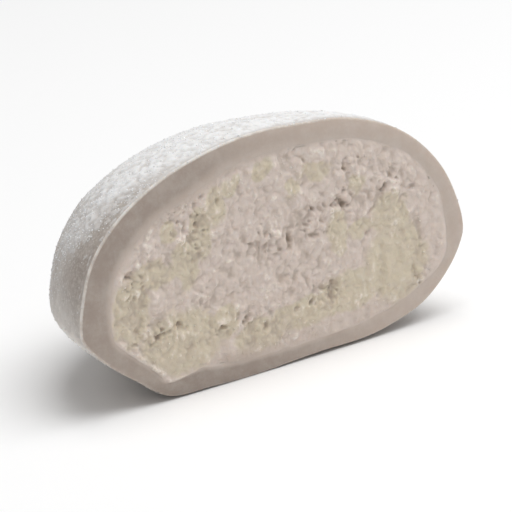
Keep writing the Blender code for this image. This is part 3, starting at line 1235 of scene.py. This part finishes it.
sample_x, sample_z = np.meshgrid(np.linspace(-5, 5, 100), np.linspace(8, 18, 100))
sample = cream_texture(sample_x, sample_z, np.ones_like(sample_x))
print(f"crumbs and lumps stand {sample[0].max():.2f} mm high and pits go {sample[1].max():.2f} mm deep")

# %% [markdown]
# Put together, the texture is strong where the cream is torn and weak where it is smeared. There the blade
# has left long soft streaks. At the wall all of it fades to the height of the dough, and along the lower
# left a low ridge of cream has been squeezed up.

# %% The height of the cream over the cut
SWELL = ((0.10, 6.0, 33), (0.12, 2.4, 34))
STREAKS = (0.24, 1.0, 48)
STREAK_STRETCH = np.array([1.0, 1.0, 0.25])
LEAST_ROUGH, MOST_ROUGH = 0.25, 1.1
RIDGE_FROM_WALL, RIDGE_HEIGHT, RIDGE_WIDTH, RIDGE_HIGHLIGHT_WIDTH = 0.40, 0.26, 0.26, 0.35
RIDGE_WANDER = (0.22, 0.8, 50)


def squeezed_ridge(x, z, to_wall):
    """The height of the ridge of cream by the wall, and how much painted highlight lies along its crest, from
    0 to 1.

    Each is exp(-(distance from the crest / width)^2), where the crest follows the wall with a wander,
    times a bump round the lower left that noise breaks up.
    """
    bearing = np.arctan2(z - FACE_CENTRE[1], x - FACE_CENTRE[0])
    low_left = bearing_bump(bearing, 202, 10)
    low_left = low_left * mixed(0.35, 1.15, eased(noise(on_cut(x, z), 0.9, seed=49), -0.5, 0.5))
    from_crest = to_wall - RIDGE_FROM_WALL + layered(on_cut(x, z), RIDGE_WANDER)
    height = RIDGE_HEIGHT * low_left * np.exp(-((from_crest / RIDGE_WIDTH) ** 2))
    return height, low_left * np.exp(-((from_crest / RIDGE_HIGHLIGHT_WIDTH) ** 2))


def cream_surface(x, z, to_wall):
    """Height of the filling in front of the knife's plane, its painted shade, how torn it is, and its painted
    highlight.

    A low swell, plus streaks, plus crumbs, lumps and grain, less pits and listed holes. Painted shade darkens
    a point that lies low in a pit or a cleft, and a painted highlight lightens one that stands up.
    """
    torn, smeared, ragged = tearing(x, z, to_wall)
    standing, pits, grain = cream_texture(x, z, ragged)
    rough = mixed(LEAST_ROUGH, MOST_ROUGH, torn)
    relief = rough * (standing - pits) + mixed(0.6, 1, torn) * grain
    swell = layered(on_cut(x, z), *SWELL) + 0.10 * eased(to_wall, 0, 3)
    streaks = smeared * layered(on_cut(x, z) * STREAK_STRETCH, STREAKS)
    depth, lip = listed_holes(x, z)
    ridge, ridge_highlight = squeezed_ridge(x, z, to_wall)
    inside = eased(to_wall, 0.0, 0.5)
    tucked_back = 0.5 * np.clip(to_wall, None, 0)
    height = (swell + streaks + relief - depth + lip) * inside + ridge + tucked_back
    # painted shade: darker where the point lies low in a pit, hole or cleft
    hole = (0.7 * eased(depth + 0.8 * rough * pits, 0.1, 0.55) + 0.5 * eased(-relief, 0.04, 0.24)) * inside
    # painted highlight: crests and the squeezed ridge are coloured lighter, as if lit
    fresh = eased(relief, 0.03, 0.22) * inside + ridge_highlight
    return height, hole, torn, fresh


middle = cream_surface(*(np.full(1, value) for value in (0.0, 12.0, 9.0)))
print(f"near the middle of the cut the cream is {middle[2][0]:.2f} torn, on a scale from 0 to 1")

# %% [markdown]
# The grid for the face is the square pressed into a disc, and the disc is then stretched: its centre goes
# to the middle of the filling, and its edge to the filling's outline and a little beyond, into the dough.

# %% Filling grid
FACE_COLUMNS, FACE_ROWS = 372, 212
TUCKED = 0.14  # mm by which the filling's edge reaches into the dough


def face_point(around, radius):
    """A place on the cut, the given share of the way from the filling's centre to its outline."""
    edge = hollow_point(around, 0 * around)[..., [0, 2]]
    reach = edge - FACE_CENTRE
    length = np.linalg.norm(reach, axis=-1, keepdims=True)
    place = FACE_CENTRE + radius[..., None] * reach * (length + TUCKED) / length
    to_wall = (1 - radius) * (length[..., 0] + TUCKED) - TUCKED
    return place[..., 0], place[..., 1], to_wall


face_around, face_radius = disc_grid(FACE_COLUMNS, FACE_ROWS)
face_x, face_z, to_wall = face_point(face_around, face_radius)
face_height, face_hole_shade, face_torn, face_fresh = cream_surface(face_x, face_z, to_wall)
face_points = np.stack([face_x, CUT_Y - face_height, face_z], axis=-1)
print(f"the face stands {face_height.max():.2f} mm proud and its holes go {-face_height.min():.2f} mm deep")

# %% [markdown]
# Behind the face, the filling is a plain ball that lies inside the dough. Its rows start at the border
# of the face, shrink a little to stay clear of the wall, and close at one tip.

# %% Filling piece
FILLING_ROWS = 9
FILLING_INSET = 0.3


def filling_back(around, behind):
    """The inside of the dough wall, with a gap."""
    return hollow_point(around, behind, inset=FILLING_INSET)


face_border = grid_border(FACE_COLUMNS, FACE_ROWS)
face_behind = np.linspace(0.05, np.pi / 2, FILLING_ROWS + 1)[:-1]
filling_lining = lined(face_around.ravel()[face_border], face_behind, filling_back)
back_quads, back_fan = lining_faces(face_border, FACE_COLUMNS * FACE_ROWS, FILLING_ROWS)
filling = make_piece(
    "torn_cream_filling",
    np.concatenate([face_points.reshape(-1, 3), filling_lining]),
    np.concatenate([grid_quads(FACE_ROWS, FACE_COLUMNS, closed=False)[:, ::-1], back_quads]),
    back_fan,
    cream_finish.material,
)
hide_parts("cream_filling")

# %% [markdown]
# Four numbers colour the cream: how yellow it is, from a map of soft patches like the one for tearing; how
# much of the dough's colour shows through by the wall, widest at the upper left and along the bottom,
# where the blade dragged the cream thin; the painted shade in its holes and clefts; and the painted
# highlight on its crests.

# %% Shade of the filling
YELLOW_PLACES = (
    (15.6, 8.2, 4.0, 4.5),
    (15.3, 13.2, 2.5, 2.9),
    (11.4, 13.3, 1.7, 1.0),
    (8.3, 13.4, 1.3, 2.7),
    (9.2, 6.5, 4.2, 2.3),
    (2.5, 5.4, 4.2, 1.5),
    (-3.0, 4.3, 3.0, 1.9),
    (-7.0, 7.2, 1.7, 1.8),
    (-12.7, 6.3, 5.2, 3.4),
    (-18.8, 11.0, 2.1, 3.6),
    (-15.4, 14.5, 3.0, 1.5),
    (-11.3, 14.9, 1.5, 2.9),
    (-9.1, 17.8, 1.3, 2.9),
    (-7.0, 20.2, 1.3, 2.0),
    (-13.0, 18.9, 1.1, 1.0),
    (-4.9, 22.0, 1.1, 1.0),
    (-0.9, 22.8, 1.1, 1.0),
    (2.9, 20.1, 1.1, 1.0),
    (6.1, 21.1, 2.1, 1.1),
    (10.9, 18.2, 1.1, 1.1),
)
YELLOW_EDGE = ((0.5, 1.5, 51), (0.3, 0.6, 53))
WALL_EDGE = (0.2, 1.2, 52)
THIN_BOTTOM, THIN_BOTTOM_WIDTH = 0.4, 2.4
THIN_CORNER, THIN_CORNER_WIDTH = 0.9, 1.6

uneven = layered(on_cut(face_x, face_z), *YELLOW_EDGE)
yellow = eased(patches(face_x + uneven, face_z + uneven, YELLOW_PLACES), 0.1, 0.55)
blurred = mixed(0.35, 1.5, leftness(face_around) * (1 - bearing_bump(face_around, 213, 14)))
at_wall = 1 - eased(to_wall + layered(on_cut(face_x, face_z), WALL_EDGE), -0.3, blurred)
at_bottom = bearing_bump(face_around, 272, 46) * np.exp(-((to_wall / THIN_BOTTOM_WIDTH) ** 2))
at_corner = bearing_bump(face_around, 247, 9) * np.exp(-((to_wall / THIN_CORNER_WIDTH) ** 2))
at_wall = np.maximum(at_wall, THIN_BOTTOM * at_bottom + THIN_CORNER * at_corner)
paint(filling, "yellow", yellow)
paint(filling, "at_wall", at_wall)
paint(filling, "hole", face_hole_shade)
paint(filling, "fresh", face_fresh)
print(f"the torn face is {yellow.mean():.2f} yellow on average, on a scale from 0 to 1")

# %% [markdown]
# ## Crumbs of filling
#
# Small crumbs that the blade tore off still stick to the rough parts. They are made as the starch grains
# are, on the height of the torn face.

# %% Crumbs
CRUMBS = 550
SMALLEST_CRUMB, LARGEST_CRUMB = 0.05, 0.15
CRUMB_LIFT = 0.1  # share of its radius
CRUMB_HIGHLIGHT = 0.7

random = np.random.default_rng(12)
likely = face_torn * eased(to_wall, 0.6, 1.2) * (face_hole_shade < 0.3)
chosen = picked(random, likely, CRUMBS)
crumb_radius = SMALLEST_CRUMB + (LARGEST_CRUMB - SMALLEST_CRUMB) * random.random(CRUMBS) ** 3
crumb_place = face_points.reshape(-1, 3)[chosen]
crumb_place[:, 1] -= CRUMB_LIFT * crumb_radius
crumb_points, crumb_faces = scattered(random, crumb_place, crumb_radius, jitter=0.25)
crumbs = make_piece("filling_crumbs", crumb_points, NO_QUADS, crumb_faces, cream_finish.material)
paint(crumbs, "yellow", patches(crumb_points[:, 0], crumb_points[:, 2], YELLOW_PLACES))
# painted highlight: the crumbs are coloured lighter, as if lit on top
paint(crumbs, "fresh", np.full(len(crumb_points), CRUMB_HIGHLIGHT))

# %% [markdown]
# ## Floor and light
#
# A pale floor and soft light, so that nothing distracts from the cake: a bright sky all round, and one
# large soft box above and a little in front and to the right, so that the top is the brightest and the
# cut face shows its holes.

# %% Floor and light
FLOOR_SIZE = 4.0
FLOOR_COLOUR = (0.96, 0.96, 0.96, 1)
SKY = 0.36
SOFTBOX_SIZE = 0.60
SOFTBOX_POWER = 4.0
SOFTBOX_PLACE = Vector((0.14, -0.12, 0.64))

bpy.ops.mesh.primitive_plane_add(size=FLOOR_SIZE)
floor = bpy.context.object
floor.name = "floor"
floor_material = bpy.data.materials.new("floor")
floor_material.use_nodes = True
floor_shader = floor_material.node_tree.nodes["Principled BSDF"]
floor_shader.inputs["Base Color"].default_value = FLOOR_COLOUR
floor_shader.inputs["Roughness"].default_value = 0.9
floor_shader.inputs["Specular IOR Level"].default_value = 0.1
floor.data.materials.append(floor_material)

world = bpy.data.worlds.new("soft_sky")
bpy.context.scene.world = world
world.use_nodes = True
world.node_tree.nodes["Background"].inputs["Color"].default_value = (1, 1, 1, 1)
world.node_tree.nodes["Background"].inputs["Strength"].default_value = SKY

softbox = bpy.data.lights.new("softbox", "AREA")
softbox.shape = "SQUARE"
softbox.size = SOFTBOX_SIZE
softbox.energy = SOFTBOX_POWER
lamp = bpy.data.objects.new("softbox", softbox)
lamp.location = SOFTBOX_PLACE
lamp.rotation_euler = SOFTBOX_PLACE.to_track_quat("Z", "Y").to_euler()
bpy.context.scene.collection.objects.link(lamp)
bpy.context.scene.view_settings.view_transform = "Standard"
print(f"one soft box of {SOFTBOX_POWER:.0f} W hangs {SOFTBOX_PLACE.length:.2f} m from the cake")

# %% [markdown]
